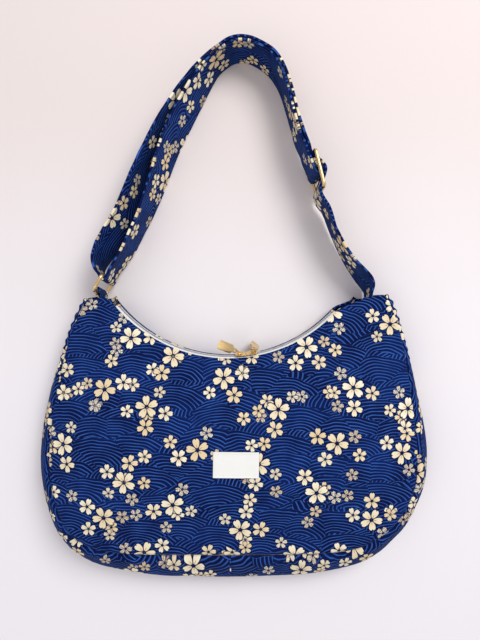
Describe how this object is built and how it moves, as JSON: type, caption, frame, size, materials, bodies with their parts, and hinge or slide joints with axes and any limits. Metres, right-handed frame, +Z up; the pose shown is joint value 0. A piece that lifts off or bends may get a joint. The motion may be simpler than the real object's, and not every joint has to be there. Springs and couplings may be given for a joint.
{
  "type": "shoulder bag",
  "caption": "Crescent-shaped zip-topped cloth shoulder bag with a gusset, lying on its back, with an adjustable strap on a ring and adjuster.",
  "frame": {"origin": "underside of the back panel, where the bag lies, near the middle of the bag's widest line", "axes": "+Z up from the surface it lies on, +Y from the bag's bottom towards the strap's top, +X to the right, seen from above"},
  "size_m": [0.3729, 0.5139, 0.0497],
  "materials": {
    "printed_cotton": "matt",
    "lining_cotton": "matt",
    "white_tape": "matt",
    "coil_plastic": "satin",
    "label_cloth": "matt",
    "gold_metal": "polished pale gold"
  },
  "bodies": {
    "bag": {"back_panel": "printed_cotton", "front_panel": "printed_cotton", "gusset_left": "printed_cotton", "gusset_right": "printed_cotton", "label": "label_cloth", "lining_back": "lining_cotton", "lining_front": "lining_cotton", "lining_gusset_left": "lining_cotton", "lining_gusset_right": "lining_cotton", "ring_tab": "printed_cotton", "strap": "printed_cotton", "zip_coil_back": "coil_plastic", "zip_coil_front": "coil_plastic", "zip_stop_left": "gold_metal", "zip_stop_right": "gold_metal", "zip_tape_back": "white_tape", "zip_tape_front": "white_tape"},
    "left_slider": {"zip_slider_left": "gold_metal"},
    "left_link": {"zip_link_left": "gold_metal"},
    "left_pull": {"zip_pull_left": "gold_metal"},
    "right_slider": {"zip_slider_right": "gold_metal"},
    "right_link": {"zip_link_right": "gold_metal"},
    "right_pull": {"zip_pull_right": "gold_metal"},
    "ring": {"strap_ring": "gold_metal"},
    "adjuster": {"strap_adjuster": "gold_metal"}
  },
  "joints": [
    {"name": "left_slider_run", "type": "hinge", "parent": "bag", "child": "left_slider", "pos_m": [-0.0113, 0.2367, 0.0224], "axis": [0, 0, 1], "range_deg": [-51, 0]},
    {"name": "left_link_turn", "type": "hinge", "parent": "left_slider", "child": "left_link", "pos_m": [0.00049, 0.1019, 0.02334], "axis": [-0.0298, 0.3407, -0.9397], "range_deg": [-6, 60]},
    {"name": "left_pull_turn", "type": "hinge", "parent": "left_link", "child": "left_pull", "pos_m": [-0.00445, 0.10428, 0.02393], "axis": [-0.0298, 0.3407, -0.9397], "range_deg": [0, 40]},
    {"name": "right_slider_run", "type": "hinge", "parent": "bag", "child": "right_slider", "pos_m": [-0.0113, 0.2367, 0.0224], "axis": [0, 0, 1], "range_deg": [0, 34]},
    {"name": "right_link_turn", "type": "hinge", "parent": "right_slider", "child": "right_link", "pos_m": [0.01079, 0.1032, 0.02334], "axis": [-0.0558, 0.3374, -0.9397], "range_deg": [-30, 0]},
    {"name": "right_pull_swing", "type": "hinge", "parent": "right_link", "child": "right_pull", "pos_m": [0.01287, 0.10666, 0.02254], "axis": [0.5891, 0.771, 0.2418], "range_deg": [0, 40]},
    {"name": "ring_turn", "type": "hinge", "parent": "bag", "child": "ring", "pos_m": [-0.1334, 0.1605, 0.0247], "axis": [0.0396, 0.0777, 0.9962], "range_deg": [-8, 8], "deforming": ["strap"]},
    {"name": "adjuster_slide", "type": "slide", "parent": "bag", "child": "adjuster", "axis": [0.2419, -0.9703, 0], "range_m": [-0.005, 0.01], "deforming": ["strap"]}
  ]
}
